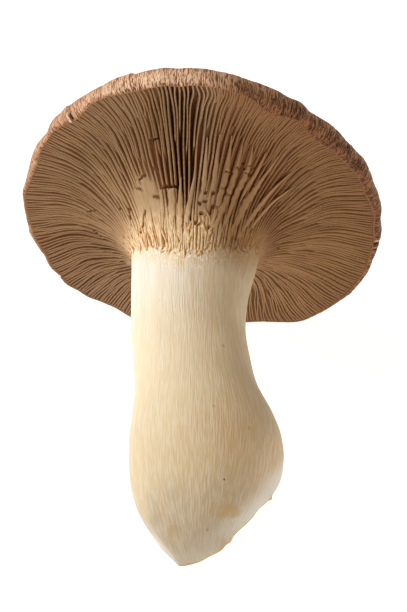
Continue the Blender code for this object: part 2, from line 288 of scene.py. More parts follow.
def smooth(stations, at, period=None):
    """The values on a soft curve through stations of (position, value, ...), as one array for each value."""
    table = np.array(stations, float)
    at = np.asarray(at, float)
    if period:
        before, after = table[-1:].copy(), table[:2].copy()
        before[:, 0] -= period
        after[:, 0] += period
        table = np.vstack([before, table, after])
        at = np.mod(at, period)
    spots, values = table[:, 0], table[:, 1:]
    low = np.maximum(np.arange(len(spots)) - 1, 0)
    high = np.minimum(np.arange(len(spots)) + 1, len(spots) - 1)
    slopes = (values[high] - values[low]) / (spots[high] - spots[low])[:, None]
    k = np.clip(np.searchsorted(spots, at) - 1, 0, len(spots) - 2)
    span = spots[k + 1] - spots[k]
    u = np.clip((at - spots[k]) / span, 0.0, 1.0)[..., None]
    span = span[..., None]
    found = (
        (2 * u**3 - 3 * u**2 + 1) * values[k] + (u**3 - 2 * u**2 + u) * slopes[k] * span
        + (3 * u**2 - 2 * u**3) * values[k + 1] + (u**3 - u**2) * slopes[k + 1] * span
    )
    return found[..., 0] if found.shape[-1] == 1 else np.moveaxis(found, -1, 0)


def soft_field(seed, cells_round, cells_along):
    """A soft random field from -1 to 1 of (angle, place along from 0 to 1), without a seam round."""
    grid = np.random.default_rng(seed).uniform(-1, 1, (cells_round, cells_along + 2))

    def field(angle, along):
        x = np.mod(angle / TURN, 1.0) * cells_round
        y = np.clip(along, 0.0, 1.0) * cells_along
        i, j = np.floor(x).astype(int), np.floor(y).astype(int)
        u, v = ease(x - i), ease(y - j)
        after = (i + 1) % cells_round
        i = i % cells_round
        low = grid[i, j] * (1 - u) + grid[after, j] * u
        high = grid[i, j + 1] * (1 - u) + grid[after, j + 1] * u
        return low * (1 - v) + high * v

    return field


FIELDS = {name: soft_field(*cells) for name, cells in FIELD_CELLS.items()}


def outward(angle):
    """The direction away from the middle of the stem."""
    return np.stack([np.cos(angle), -np.sin(angle), np.zeros_like(angle)], -1)


def sideways(angle):
    """Round the stem, the way that angles grow."""
    return np.stack([-np.sin(angle), -np.cos(angle), np.zeros_like(angle)], -1)


def column(values):
    """The values with one more axis, to scale points by them or to meet a section."""
    return values[..., None]


def raised(height):
    """A step straight up by a height."""
    return np.stack([np.zeros_like(height), np.zeros_like(height), height], -1)


def stem_point(angle, height):
    """A point on the stem's skin at a height in metres."""
    angle, height = np.broadcast_arrays(angle, height)
    shift, half = smooth(STEM, -height / MM)
    side = outward(angle)
    x, y = shift + half * side[..., 0], half * side[..., 1] * STEM_DEPTH_RATIO
    return np.stack([x * MM, y * MM, height], -1)


def collar_height(angle):
    """The height at which the gills end on the neck."""
    return smooth(COLLAR, np.degrees(angle), 360) * MM


def lean_height(spot):
    """How high the plane that leans with the cap is at a spot."""
    return -spot[..., 1] * math.tan(CAP_LEAN)


def margin_point(angle):
    """The edge where the gills meet the skin, on a plane that leans with the cap."""
    radius = smooth(MARGIN, np.degrees(angle), 360) + MARGIN_WAVE * FIELDS["waves"](angle, 0.0)
    spot = outward(angle) * column(radius) * MM
    return spot + raised(lean_height(spot))


def funnel_point(angle, share):
    """A gill's free edge, from the collar at share 0 to the margin. Below 0 it runs down the stem's skin."""
    angle, share = np.broadcast_arrays(angle, share)
    collar = collar_height(angle)
    low, high = stem_point(angle, collar), margin_point(angle)
    along = np.maximum(share, 0.0)
    spot = low + (high - low) * column(along)
    rise = 1 - (1 - np.minimum(along, 1.0)) ** FUNNEL_POWER
    spot[..., 2] = low[..., 2] + (high[..., 2] - low[..., 2]) * rise + FUNNEL_SWELL * np.sin(math.pi * along)
    on_stem = stem_point(angle, collar + np.minimum(share, 0.0) * NECK_REACH)
    return np.where(column(share < 0), on_stem, spot)


def funnel_inward(angle, share):
    """The direction from a gill's free edge into the flesh."""
    step = 0.01
    run = funnel_point(angle, share + step) - funnel_point(angle, share - step)
    side = outward(np.broadcast_to(angle, np.shape(run)[:-1]))
    inward = raised(np.sum(run * side, -1)) - side * column(run[..., 2])
    return inward / np.linalg.norm(inward, axis=-1, keepdims=True)


def degrees_away(angle, middle):
    """How many degrees an angle lies past a middle one, the short way round."""
    return (np.degrees(angle) - middle + 180.0) % 360.0 - 180.0


def worn_share(angle, share):
    """How much of the gills is worn down and grown together."""
    left = 1.0
    for middle, at, wide, long, worn in WORN:
        away = (degrees_away(angle, middle) / wide) ** 2 + ((share - at) / long) ** 2
        left = left * (1 - worn * np.exp(-away))
    return 1 - left


def closed_share(angle, share):
    """1 where flesh has closed over the worn gills, with a ragged border."""
    ragged = CLOSES_RAGGED * FIELDS["ragged"](angle, np.clip(share, 0, 1))
    return ramp(worn_share(angle, share) + ragged, *CLOSES)


def gap_depth(angle, share):
    """How deep the gaps between the gills are."""
    shallower = (1 - DEPTH_AT_MARGIN) * ramp(share, SHALLOWER_FROM, 1.0)
    depth = ramp(share, -0.02, DEEPEST_FROM) * (1 - shallower)
    depth = depth * smooth(DEPTH_ROUND, np.degrees(angle), 360) * (1 - worn_share(angle, share))
    return GILL_DEPTH * depth * (1 - ramp(share, LAST_OF_GAP, 1.0))


def crack_share(angle, share):
    """1 along the line of a crack and 0 away from it."""
    radius = NECK_RADIUS + FUNNEL_GROWTH * share
    most = np.zeros(np.broadcast(angle, share).shape)
    for first, first_share, last, last_share in CRACKS:
        first_radius = NECK_RADIUS + FUNNEL_GROWTH * first_share
        x = degrees_away(angle, first) * radius * TURN / 360
        y = (share - first_share) * GILL_LENGTH
        run_x = (last - first) * first_radius * TURN / 360
        run_y = (last_share - first_share) * GILL_LENGTH
        along = np.clip((x * run_x + y * run_y) / (run_x ** 2 + run_y ** 2), 0, 1)
        away = np.hypot(x - along * run_x, y - along * run_y)
        most = np.maximum(most, np.exp(-((away / CRACK_WIDTH) ** 4)))
    return most


def grid_faces(rows, columns):
    """The quads of a grid of points, row by row, with each row closed into a ring."""
    index = np.arange(rows * columns).reshape(rows, columns)
    nearer, further = index[:-1], index[1:]
    quads = [nearer, np.roll(nearer, -1, 1), np.roll(further, -1, 1), further]
    return np.stack(quads, -1).reshape(-1, 4)


def lay_down(points):
    """Carries upright points to where they lie, and presses flat what would go below the floor."""
    turn = np.array(Matrix.Rotation(LYING_TURN, 3, "X"))
    lying = points @ turn.T + np.array(MARGIN_MIDDLE)
    lying[:, 2] = np.maximum(lying[:, 2], 0.0)
    return lying


def new_piece(name, points, faces, material, slot, **marks):
    """A smooth piece of the mushroom that stands for the solid, with a number at each point for a mark."""
    mesh = bpy.data.meshes.new(name)
    mesh.from_pydata(lay_down(points.reshape(-1, 3)).tolist(), [], [list(face) for face in faces])
    for mark, values in marks.items():
        held = mesh.attributes.new(mark, "FLOAT", "POINT")
        held.data.foreach_set("value", np.ascontiguousarray(values, np.float32).ravel())
    mesh.materials.append(material)
    mesh.shade_smooth()
    piece = bpy.data.objects.new(name, mesh)
    bpy.context.scene.collection.objects.link(piece)
    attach(piece, "root")
    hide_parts(NODE)


class Painter:
    """Builds one material out of nodes. A place is a point of the upright mushroom, in metres."""

    def __init__(self, name):
        self.material = bpy.data.materials.new(name)
        self.material.use_nodes = True
        self.tree = self.material.node_tree
        self.shader = self.tree.nodes["Principled BSDF"]
        where = self.node("TexCoord", {}).outputs["Object"]
        lying = {"Vector": where, "Location": MARGIN_MIDDLE, "Rotation": (LYING_TURN, 0, 0)}
        self.place = self.node("Mapping", lying, vector_type="TEXTURE").outputs[0]
        self.side, self.back, self.height = self.split(self.place)

    def put(self, socket, value):
        if isinstance(value, bpy.types.NodeSocket):
            self.tree.links.new(value, socket)
        elif socket.type == "RGBA":
            socket.default_value = (*value, 1.0)
        else:
            socket.default_value = value

    def node(self, kind, inputs, **settings):
        """A new node with its inputs, by name or number, and its settings."""
        node = self.tree.nodes.new("ShaderNode" + kind)
        for setting, value in settings.items():
            setattr(node, setting, value)
        for key, value in inputs.items():
            self.put(node.inputs[key], value)
        return node

    def math(self, operation, first, second=0.0):
        return self.node("Math", {0: first, 1: second}, operation=operation).outputs[0]

    def vector(self, operation, first, second):
        key = "Scale" if operation == "SCALE" else 1
        return self.node("VectorMath", {0: first, key: second}, operation=operation).outputs[0]

    def length(self, place):
        return self.node("VectorMath", {0: place}, operation="LENGTH").outputs["Value"]

    def split(self, place):
        return self.node("SeparateXYZ", {0: place}).outputs

    def mark(self, name):
        return self.node("Attribute", {}, attribute_name=name).outputs["Fac"]

    def noise(self, place, scale, detail=3.0, roughness=0.55):
        inputs = {"Vector": place, "Scale": scale, "Detail": detail, "Roughness": roughness}
        return self.node("TexNoise", inputs).outputs["Fac"]

    def product(self, first, *others):
        for other in others:
            first = self.math("MULTIPLY", first, other)
        return first

    def uneven(self, value, noise, amount):
        """A value moved up and down by noise."""
        return self.math("ADD", value, self.product(self.math("SUBTRACT", noise, 0.5), amount))

    def span(self, value, low, high, first=0.0, last=1.0):
        """Carries a value between low and high softly over to between first and last."""
        inputs = {"Value": value, "From Min": low, "From Max": high, "To Min": first, "To Max": last}
        return self.node("MapRange", inputs, interpolation_type="SMOOTHSTEP").outputs[0]

    def over(self, distance, low, high, first=0.0, last=1.0):
        """The same for a distance, with low and high in millimetres."""
        return self.span(distance, low * MM, high * MM, first, last)

    def rightwards(self, *ends):
        return self.over(self.side, *ends)

    def backwards(self, *ends):
        return self.over(self.back, *ends)

    def upwards(self, *ends):
        return self.over(self.height, *ends)

    def mix(self, share, first, second):
        return self.node("Mix", {0: share, 6: first, 7: second}, data_type="RGBA").outputs[2]

    def layer(self, colour, tint, *shares):
        """The tint over the colour, as strong as the product of the shares."""
        return self.mix(self.product(*shares), colour, tint)

    def across(self, low, high, left, right):
        """From the left's colour to the right's, between two places in millimetres."""
        return self.mix(self.rightwards(low, high), left, right)

    def near(self, spot, reach, noise):
        """1 at a point in millimetres and 0 past its reach, with an uneven border."""
        away = self.length(self.vector("SUBTRACT", self.place, tuple(x * MM for x in spot)))
        return self.over(self.uneven(away, noise, 2.5 * reach * MM), reach, 0.25 * reach)

    def bent(self, scale, reach):
        """Places shifted a little by noise, for lines that are not quite straight."""
        noise = self.node("TexNoise", {"Vector": self.place, "Scale": scale}).outputs["Color"]
        shift = self.vector("SUBTRACT", noise, (0.5, 0.5, 0.5))
        return self.vector("ADD", self.place, self.vector("SCALE", shift, reach))

    def radial(self, place, reach, along):
        """Coordinates that stretch a pattern along lines from the middle of the cap to its margin."""
        flat = self.vector("MULTIPLY", place, (1.0, 1.0, 0.0))
        direction = self.node("VectorMath", {0: flat}, operation="NORMALIZE").outputs[0]
        height = self.math("ADD", self.length(flat), self.split(place)[2])
        deep = self.node("CombineXYZ", {2: self.product(height, along)}).outputs[0]
        return self.vector("ADD", self.vector("SCALE", direction, reach), deep)

    def finish(self, colour, roughness, height, depth, subsurface):
        inputs = {"Height": height, "Distance": depth}
        looks = {
            "Base Color": colour, "Roughness": roughness, "Normal": self.node("Bump", inputs).outputs[0],
            "Subsurface Weight": subsurface, "Subsurface Radius": (1.0, 0.55, 0.3),
            "Subsurface Scale": 1.5 * MM, "Specular IOR Level": 0.3,
        }
        for name, value in looks.items():
            self.put(self.shader.inputs[name], value)
        return self.material


def stem_ground(paint, clouds):
    """White at the neck, yellower and greyer lower down, with painted shade on the right side and on the
    right of the neck.
    """
    yellow = paint.mix(paint.upwards(-60, -105), (0.83, 0.71, 0.49), (0.7, 0.56, 0.34))
    white = paint.over(paint.uneven(paint.height, clouds, 0.03), -62, -30)
    colour = paint.layer(yellow, (0.9, 0.84, 0.74), white)
    # Painted shade: the side away from the key light is darker and warmer.
    right = paint.over(paint.uneven(paint.side, clouds, 0.03), -14, 18)
    colour = paint.layer(colour, (0.67, 0.49, 0.285), right)
    # Painted shade on the right of the neck, just below the collar.
    neck = paint.product(paint.upwards(-50, -36), paint.rightwards(6, 17, 0.0, 0.5))
    colour = paint.layer(colour, (0.43, 0.31, 0.15), neck)
    colour = paint.layer(colour, (0.55, 0.45, 0.31), paint.upwards(-100, -125))
    facet = paint.product(paint.rightwards(-2, -12, 0.0, 0.7), paint.upwards(-108, -122))
    return paint.layer(colour, (0.46, 0.36, 0.23), facet)


def stem_collar(paint, colour, bands, flakes):
    """The stain just below the gills, with painted shade that darkens it and draws it further down on the
    right, and the white grains under it, faint on the right.
    """
    # Painted shade: on the right the stain reaches further down the neck.
    near = paint.uneven(paint.mark("below"), bands, 0.3)
    near = paint.product(near, paint.rightwards(2, 17, 1.0, 0.55))
    # The stain is pale orange on the left and dark brown on the right, where it is painted shade.
    stain_and_shade = paint.across(-8, 14, (0.86, 0.68, 0.44), (0.42, 0.25, 0.11))
    colour = paint.layer(colour, stain_and_shade, paint.span(near, 0.04, 0.26, 0.9, 0.0))
    grains = paint.product(paint.span(flakes, 0.5, 0.66, 0.0, 0.8), paint.span(near, 0.3, 0.1))
    return paint.layer(colour, (1.0, 0.96, 0.87), grains, paint.rightwards(12, -2, 0.15, 1.0))


def stem_cuts(paint, colour, clouds):
    """The bare flesh of the knife cuts, and the thin brown line round them."""
    cut = paint.mark("cut")
    bare = paint.span(paint.uneven(cut, clouds, 0.5), -0.8, -0.25, 0.0, 0.85)
    colour = paint.layer(colour, (0.78, 0.74, 0.67), bare, paint.upwards(-127, -116, 0.35, 1.0))
    rim = paint.product(paint.span(cut, -0.1, -0.03, 0.0, 0.8), paint.span(cut, 0.09, 0.02))
    return paint.layer(colour, (0.62, 0.4, 0.15), rim)


def stem_material():
    """Pale flesh with fine lengthwise fibres, stains and specks."""
    paint = Painter("stem_flesh")
    along_grain = paint.radial(paint.bent(70.0, 1.2 * MM), 0.02, 0.07)
    fibres = paint.noise(along_grain, 2300.0, 3.0)
    bands = paint.noise(along_grain, 420.0, 2.0)
    clouds = paint.noise(paint.place, 45.0, 3.0)
    flakes = paint.noise(paint.vector("MULTIPLY", paint.place, (1.0, 1.0, 0.5)), 1700.0, 2.0)
    colour = stem_ground(paint, clouds)
    colour = paint.layer(colour, (0.97, 0.91, 0.8), paint.span(fibres, 0.42, 0.6, 0.0, 0.26))
    colour = paint.layer(colour, (0.7, 0.5, 0.26), paint.span(bands, 0.5, 0.66, 0.0, 0.2))
    colour = stem_collar(paint, colour, bands, flakes)
    colour = stem_cuts(paint, colour, clouds)
    blotches = paint.noise(paint.place, 330.0, 3.0)
    for spots, noise in ((STAINS, blotches), (SPECKS, flakes)):
        for spot, reach, tint, strength in spots:
            colour = paint.layer(colour, tint, paint.near(spot, reach, noise), strength)
    height = paint.math("ADD", fibres, paint.product(clouds, 0.4))
    return paint.finish(colour, 0.55, height, 0.22 * MM, 0.2)


def gill_tan(paint, grain, clouds, drift):
    """The tan of the sound gills in broad streaks, redder near the margin."""
    tan = paint.mix(paint.span(grain, 0.3, 0.7), (0.238, 0.118, 0.045), (0.298, 0.156, 0.063))
    tan = paint.layer(tan, (0.255, 0.115, 0.036), paint.backwards(-6, 16, 0.0, 0.45))
    outer = paint.math("ADD", drift, paint.product(clouds, 0.2))
    tan = paint.layer(tan, (0.2, 0.085, 0.034), paint.span(outer, 0.85, 1.10, 0.0, 0.7))
    broad = paint.noise(paint.radial(paint.place, 0.05, 0.22), 130.0, 2.0)
    tan = paint.layer(tan, (0.2, 0.09, 0.034), paint.span(broad, 0.42, 0.62, 0.0, 0.35))
    tan = paint.layer(tan, (0.36, 0.215, 0.105), paint.span(broad, 0.5, 0.34, 0.0, 0.22))
    ahead = paint.product(paint.rightwards(1, 8), paint.backwards(-8, -18))
    return paint.layer(tan, (0.29, 0.122, 0.052), ahead, 0.4)


def gill_fringe(paint, deep):
    """The warm ragged ends over the collar, with painted highlights on the crests, painted shade in the
    hollows and on the right.
    """
    flecks = paint.noise(paint.radial(paint.place, 0.05, 0.6), 1000.0, 4.0, 0.65)
    valley = paint.mix(paint.span(flecks, 0.45, 0.56), (0.62, 0.33, 0.12), (0.4, 0.155, 0.04))
    crest = paint.mix(paint.span(flecks, 0.46, 0.58), (1.0, 0.82, 0.54), (0.8, 0.48, 0.2))
    # By depth: the crest colour is a painted highlight and the valley colour painted shade.
    low = paint.span(deep, 0.004, 0.05)
    # Painted shade on the right, with orange flecks.
    shaded = paint.mix(low, (0.31, 0.15, 0.055), (0.12, 0.036, 0.009))
    shaded = paint.layer(shaded, (0.55, 0.22, 0.045), paint.span(flecks, 0.56, 0.62, 0.0, 0.7))
    return paint.layer(paint.mix(low, crest, valley), shaded, paint.rightwards(-3, 11, 0.0, 0.95))


def gill_material():
    """Tan gills, paler where they are worn, warm at the collar, with painted shade in the gaps and on the
    right and painted highlights on the free edges.
    """
    paint = Painter("gills")
    share, deep, worn = paint.mark("share"), paint.mark("deep"), paint.mark("worn")
    grain = paint.noise(paint.radial(paint.place, 0.05, 0.2), 1500.0, 3.0)
    clouds = paint.noise(paint.place, 90.0, 4.0)
    drift = paint.uneven(share, clouds, 0.16)
    # Painted shade: the inner gills are darker on the right.
    inner = paint.across(-12, 12, (0.38, 0.225, 0.106), (0.2, 0.088, 0.03))
    colour = paint.mix(paint.span(drift, 0.05, 0.34), inner, gill_tan(paint, grain, clouds, drift))
    pale = paint.across(-5, 20, (0.317, 0.194, 0.094), (0.47, 0.275, 0.13))
    # Paler where the gills are worn; on the bands the worn mark is also a painted highlight on the top and
    # left of each crest.
    colour = paint.layer(colour, pale, worn, 0.8)
    # Painted shade deep in the gaps of the inner gills, on the side that faces up.
    between = paint.product(paint.span(deep, 0.07, 0.28, 0.0, 0.65), paint.span(share, 0.62, 0.38))
    colour = paint.layer(colour, (0.21, 0.065, 0.021), between, paint.backwards(-2, -16))
    behind = paint.product(paint.backwards(-14, -4), 0.05)
    collar = paint.span(paint.math("ADD", drift, behind), 0.03, 0.17, 1.0, 0.0)
    colour = paint.layer(colour, gill_fringe(paint, deep), collar)
    # The gill ends running down the stem: pale, with painted shade on the right.
    ends = paint.across(-4, 14, (0.88, 0.74, 0.54), (0.52, 0.34, 0.18))
    colour = paint.layer(colour, ends, paint.span(drift, -0.14, -0.04, 1.0, 0.0))
    # Painted highlight on the gills' free edges, dimmer on the right as painted shade.
    edge = paint.across(-5, 16, (0.62, 0.42, 0.24), (0.5, 0.29, 0.12))
    colour = paint.layer(colour, edge, paint.span(deep, 0.01, 0.09, 0.28, 0.0))
    # Painted shade in the deep gaps.
    colour = paint.layer(colour, (0.19, 0.05, 0.016), paint.span(deep, 0.22, 1.0, 0.0, 0.8))
    # Painted highlight on the free edges of the deep gills in the middle, towards the front.
    from_middle = paint.math("ABSOLUTE", paint.math("ADD", paint.side, 3 * MM))
    front = paint.product(paint.over(from_middle, 11, 4), paint.backwards(-20, -28))
    colour = paint.layer(colour, (0.6, 0.4, 0.24), front, paint.span(deep, 0.3, 0.02, 0.0, 0.4))
    return paint.finish(colour, 0.65, paint.math("ADD", grain, clouds), 0.12 * MM, 0.1)


def skin_ground(paint, both, right):
    """Pinkish brown on the left and darker brown on the right as painted shade, less so on the upper part of
    the edge as painted light.
    """
    brown = paint.mix(paint.span(both, 0.43, 0.57), (0.19, 0.074, 0.03), (0.52, 0.27, 0.135))
    pink = paint.mix(paint.span(both, 0.44, 0.53), (0.23, 0.07, 0.02), (0.9, 0.59, 0.395))
    pink = paint.layer(pink, (0.36, 0.15, 0.062), paint.rightwards(-16, -42, 0.0, 0.55))
    return paint.layer(pink, brown, right, paint.span(paint.mark("up"), 0.35, 0.8, 1.0, 0.55))


def skin_lit(paint, colour, both, up):
    """Painted highlights: paler streaks round the middle of the blunt edge, on the left."""
    zone = paint.product(paint.span(up, 0.1, 0.3), paint.span(up, 0.75, 0.4))
    streaked = paint.mix(paint.span(both, 0.42, 0.52), (0.4, 0.16, 0.06), (1.0, 0.76, 0.54))
    left = paint.rightwards(14, -4, 0.0, 0.45)
    return paint.layer(colour, streaked, zone, left, paint.rightwards(-44, -24, 0.2, 1.0))


def skin_material():
    """Brown skin in fine radial streaks, darker at the rim, with painted shade on the right and in the
    splits, and a thin line at the margin.
    """
    paint = Painter("cap_skin")
    bent = paint.bent(420.0, 1.0 * MM)
    streaks = paint.noise(paint.radial(bent, 0.05, 0.06), 3000.0, 2.0, 0.5)
    fine = paint.noise(paint.radial(bent, 0.05, 0.12), 5000.0, 1.0, 0.5)
    height = paint.math("ADD", streaks, fine)
    both = paint.product(height, 0.5)
    clouds = paint.noise(paint.place, 60.0, 3.0)
    # The mask of painted shade on the right side.
    right = paint.over(paint.uneven(paint.side, clouds, 0.04), 2, 28)
    up = paint.uneven(paint.mark("up"), both, 1.2)
    colour = skin_lit(paint, skin_ground(paint, both, right), both, up)
    warm = paint.mix(paint.span(both, 0.45, 0.55), (0.17, 0.06, 0.02), (0.5, 0.23, 0.085))
    dark = paint.mix(paint.span(both, 0.46, 0.58), (0.045, 0.013, 0.005), (0.4, 0.15, 0.046))
    # Painted shade: the lower part of the edge is darker on the right. Next to the margin a darker band,
    # warm brown on the left and darker on the right as painted shade.
    colour = paint.layer(colour, dark, paint.span(up, 0.34, 0.64, 0.9, 0.0), right)
    colour = paint.layer(colour, paint.mix(right, warm, dark), paint.span(up, 0.05, 0.26, 0.85, 0.0))
    colour = paint.layer(colour, (0.24, 0.1, 0.045), paint.span(up, 0.65, 1.0, 0.0, 0.5))
    torn = paint.mark("torn")
    # Painted shadow in the splits.
    colour = paint.layer(colour, (0.03, 0.01, 0.005), paint.span(torn, 0.3, 0.8))
    # The pale lips of the splits, darker on the right as painted shade.
    lips = paint.mix(right, (1.0, 0.86, 0.68), (0.62, 0.45, 0.3))
    colour = paint.layer(colour, lips, paint.span(torn, -0.2, -0.7, 0.0, 0.9))
    # The thin line at the margin, darker on the right as painted shade.
    line = paint.mix(right, (0.46, 0.22, 0.075), (0.32, 0.14, 0.05))
    colour = paint.layer(colour, line, paint.mark("line"))
    return paint.finish(colour, 0.6, height, 0.26 * MM, 0.1)


def stem_relief(angle, up, below):
    """Fibres, dents and the flutes that the gills leave on the neck."""
    fibres = FIELDS["fibres"](angle + 0.02 * np.sin(40 * up), up)
    flutes = FIELDS["flutes"](angle, up) * (1 - ramp(below, 0.0, 0.5))
    relief = FIBRE_RELIEF * fibres + DENT_RELIEF * FIELDS["dents"](angle, up) + FLUTE_RELIEF * flutes
    return relief * ramp(up, 0.0, 0.06) * (1 - 0.5 * ramp(up, 0.96, 1.0))


def cut_foot(points):
    """The points pressed back to the knife cuts, twice over, and how near each is to the front cuts."""
    cut = np.full(points.shape[:2], -1.0)
    for number, (spot, direction, rounding) in enumerate(FOOT_CUTS * 2):
        normal = np.array(Vector(direction).normalized())
        beyond = ((points - np.array(spot) * MM) @ normal) / (rounding * MM)
        taken = np.where(beyond > 3, beyond, np.log1p(np.exp(2 * np.minimum(beyond, 3))) / 2)
        points = points - normal * column(taken * rounding * MM)
        if number in FRONT_CUTS:
            cut = np.maximum(cut, beyond * rounding / 10)
    return points, np.clip(cut, -1, 1)


def lumpy_foot(points):
    """The points with the lumps that the knife left."""
    towards = np.array(Vector(LUMPS_TOWARDS).normalized())
    for spot, wide, high in FOOT_LUMPS:
        away = np.linalg.norm(points - np.array(spot) * MM, axis=-1) / (wide * MM)
        points = points + towards * column(high * MM * np.exp(-(away ** 2)))
    return points


def build_stem(material):
    """The stem from the cut foot up to the collar, with its lengthwise fibres in relief."""
    rows, columns = STEM_GRID
    angle = np.arange(columns) * TURN / columns
    up = np.linspace(0.0, 1.0, rows)[:, None]
    bottom, top = -STEM[-1][0] * MM, collar_height(angle) + STEM_OVERLAP
    height = bottom + (top - bottom) * up
    angle = np.broadcast_to(angle, height.shape)
    below = (collar_height(angle) - height) / NECK_REACH
    points = stem_point(angle, height) + outward(angle) * column(stem_relief(angle, up, below))
    points = points - outward(angle) * column(STEM_TUCK * ramp(up, 0.985, 1.0))
    points, cut = cut_foot(points)
    faces = grid_faces(rows, columns)[:, ::-1].tolist()
    faces.append(list(range(columns)))
    new_piece("stem", lumpy_foot(points), faces, material, "stem_flesh", cut=cut, below=below)


def build_floor_of_gills(material):
    """The flesh between the gills, at the bottom of their gaps and over the worn ones."""
    rows, columns = FLESH_GRID
    angle = np.arange(columns) * TURN / columns
    share = FLESH_START + (1 - FLESH_START) * np.linspace(0.0, 1.0, rows)[:, None] ** 1.5
    angle, share = np.broadcast_arrays(angle, share)
    cracked = crack_share(angle, share) * ramp(share, 0.02, 0.05)
    closed = closed_share(angle, share) * ramp(share, 0.01, 0.05)
    grown = GROWN_RELIEF * FIELDS["grown"](angle, np.clip(share, 0, 1)) * closed
    depth = gap_depth(angle, share) * (1 - closed) + FLESH_BELOW - CLOSED_OVER * closed + grown
    depth = depth + CRACK_DEPTH * cracked * (share < 0.9)
    points = funnel_point(angle, share) + funnel_inward(angle, share) * column(depth)
    deep = np.clip(depth / GILL_DEPTH + 0.4 * cracked, 0, 1)
    faces = grid_faces(rows, columns)[:, ::-1]
    new_piece("gill_flesh", points, faces, material, "gills", share=share, deep=deep, worn=closed)


def plan_gills():
    """Every gill as (angle at the margin, share where it starts): long ones, and one or two between."""
    draw = np.random.default_rng(SEED)
    gills = []
    for i in range(LONG_GILLS):
        angle = (i + draw.uniform(-0.06, 0.06)) * PITCH
        gills.append((angle, draw.uniform(-0.07, 0.01)))
        threes = draw.uniform() < smooth(THREES, math.degrees(angle), 360)
        half, short = smooth(STARTS, math.degrees(angle), 360) + draw.uniform(-0.09, 0.09, 2)
        between = [(1 / 3, half), (2 / 3, short)] if threes else [(1 / 2, half)]
        if threes and draw.uniform() < 0.5:
            between = [(1 / 3, short), (2 / 3, half)]
        for place, start in between:
            gills.append((angle + (place + draw.uniform(-0.05, 0.05)) * PITCH, start))
    return gills


def gill_path(angle, start, share, draw):
    """The angle along a gill, which sways, swings round behind the neck and, if short, joins a neighbour."""
    swing, phase, beats = draw.uniform(-0.16, 0.16), draw.uniform(0, TURN), draw.uniform(1.0, 2.2)
    own = swing * np.sin(math.pi * share) + 0.07 * np.sin(TURN * beats * share + phase)
    path = angle + FIELDS["sway"](angle, share) * SWAY * np.sin(math.pi * share) + own * PITCH
    swing_round = math.radians(smooth(SWING, math.degrees(angle), 360))
    path = path + swing_round * (1 - np.clip(share, 0, 1)) ** 1.5
    if start > SHORT_FROM:
        joins = draw.choice([-0.3, 0.0, 0.3])
        path = path + joins * PITCH * (1 - ramp(share, start, start + 0.16))
    return path


def gill_height(angle, start, share, cracked):
    """How much of its full depth a gill has along it: less at a short one's start, the margin and cracks."""
    high = ramp(share, start, start + 0.1) if start > SHORT_FROM else np.ones(len(share))
    high = high * (1 - 0.35 * ramp(share, 0.97, 1.0))
    high = high * (1 - 0.85 * cracked)
    return high * (1 - 0.1 * (0.5 + 0.5 * FIELDS["nibble"](angle + 40 * share, share)))


def gill_lean(angle, path, share):
    """How far a gill's free edge leans to the side."""
    lean = smooth(LEAN, np.degrees(path), 360) * MM * ramp(share, 0.08, 0.4)
    lean = lean * (1 - 0.4 * ramp(share, 0.8, 1.0))
    return lean + GILL_CURL * FIELDS["curl"](angle, share) * ramp(share, 0.1, 0.3)


def swept(path, share, offset, inset):
    """A section carried along a line on the funnel, each of its points so far to the side and so far in."""
    inward, side = funnel_inward(path, share), sideways(path)
    base = funnel_point(path, share)
    return base[:, None] + side[:, None] * column(offset) + inward[:, None] * column(inset)


def gill_blade(angle, start, draw):
    """One gill: its points as (stations, section), and the share, the depth and the wear at each."""
    share = start + (1 - start) * np.linspace(0.0, 1.0, int(20 + 102 * (1 - start)))
    path = gill_path(angle, start, share, draw)
    cracked, closed = crack_share(path, share), closed_share(path, share)
    high = column(gill_height(angle, start, share, cracked))
    proud = GILL_PROUD * (1 - ramp(share, 0.0, 0.2)) * ramp(share, start, start + 0.05) * (1 - 0.8 * closed)
    down, across = np.transpose(BLADE_SECTION + [(deep, -wide) for deep, wide in BLADE_SECTION[-2::-1]])
    reach = column(gap_depth(path, share) + proud + ROOT_SUNK) * (1 - high * (1 - down))
    reach = reach + column(CRACK_DEPTH * cracked)
    lean = column(gill_lean(angle, path, share)) * (1 - reach / (GILL_DEPTH + ROOT_SUNK)).clip(0, 1)
    offset = column(smooth(THICKNESS, share) * MM / 2) * across + lean
    points = swept(path, share, offset, reach - column(proud))
    deep = np.clip((reach - column(proud)) / GILL_DEPTH + 0.5 * column(cracked), 0, 1)
    return points, column(share), deep, column(closed)


def joined(blades):
    """The points, faces and marks of several blades, bands or teeth, each a closed tube."""
    points, marks, faces, first = [], [], [], 0
    for spots, *held in blades:
        rows, columns = spots.shape[:2]
        points.append(spots.reshape(-1, 3))
        marks.append([np.broadcast_to(values, (rows, columns)).ravel() for values in held])
        faces += (grid_faces(rows, columns) + first).tolist()
        faces.append([first + k for k in reversed(range(columns))])
        faces.append([first + (rows - 1) * columns + k for k in range(columns)])
        first += rows * columns
    return np.concatenate(points), faces, [np.concatenate(values) for values in zip(*marks)]


def build_gills(material):
    """The blades, in four pieces round the funnel."""
    draw = np.random.default_rng(SEED + 1)
    names = ["gills_right", "gills_front", "gills_left", "gills_back"]
    sectors = {name: [] for name in names}
    for angle, start in plan_gills():
        quarter = int(((angle + TURN / 8) % TURN) / (TURN / 4))
        sectors[names[min(quarter, 3)]].append(gill_blade(angle, start, draw))
    for name, blades in sectors.items():
        points, faces, (share, deep, worn) = joined(blades)
        new_piece(name, points, faces, material, "gills", share=share, deep=deep, worn=worn)


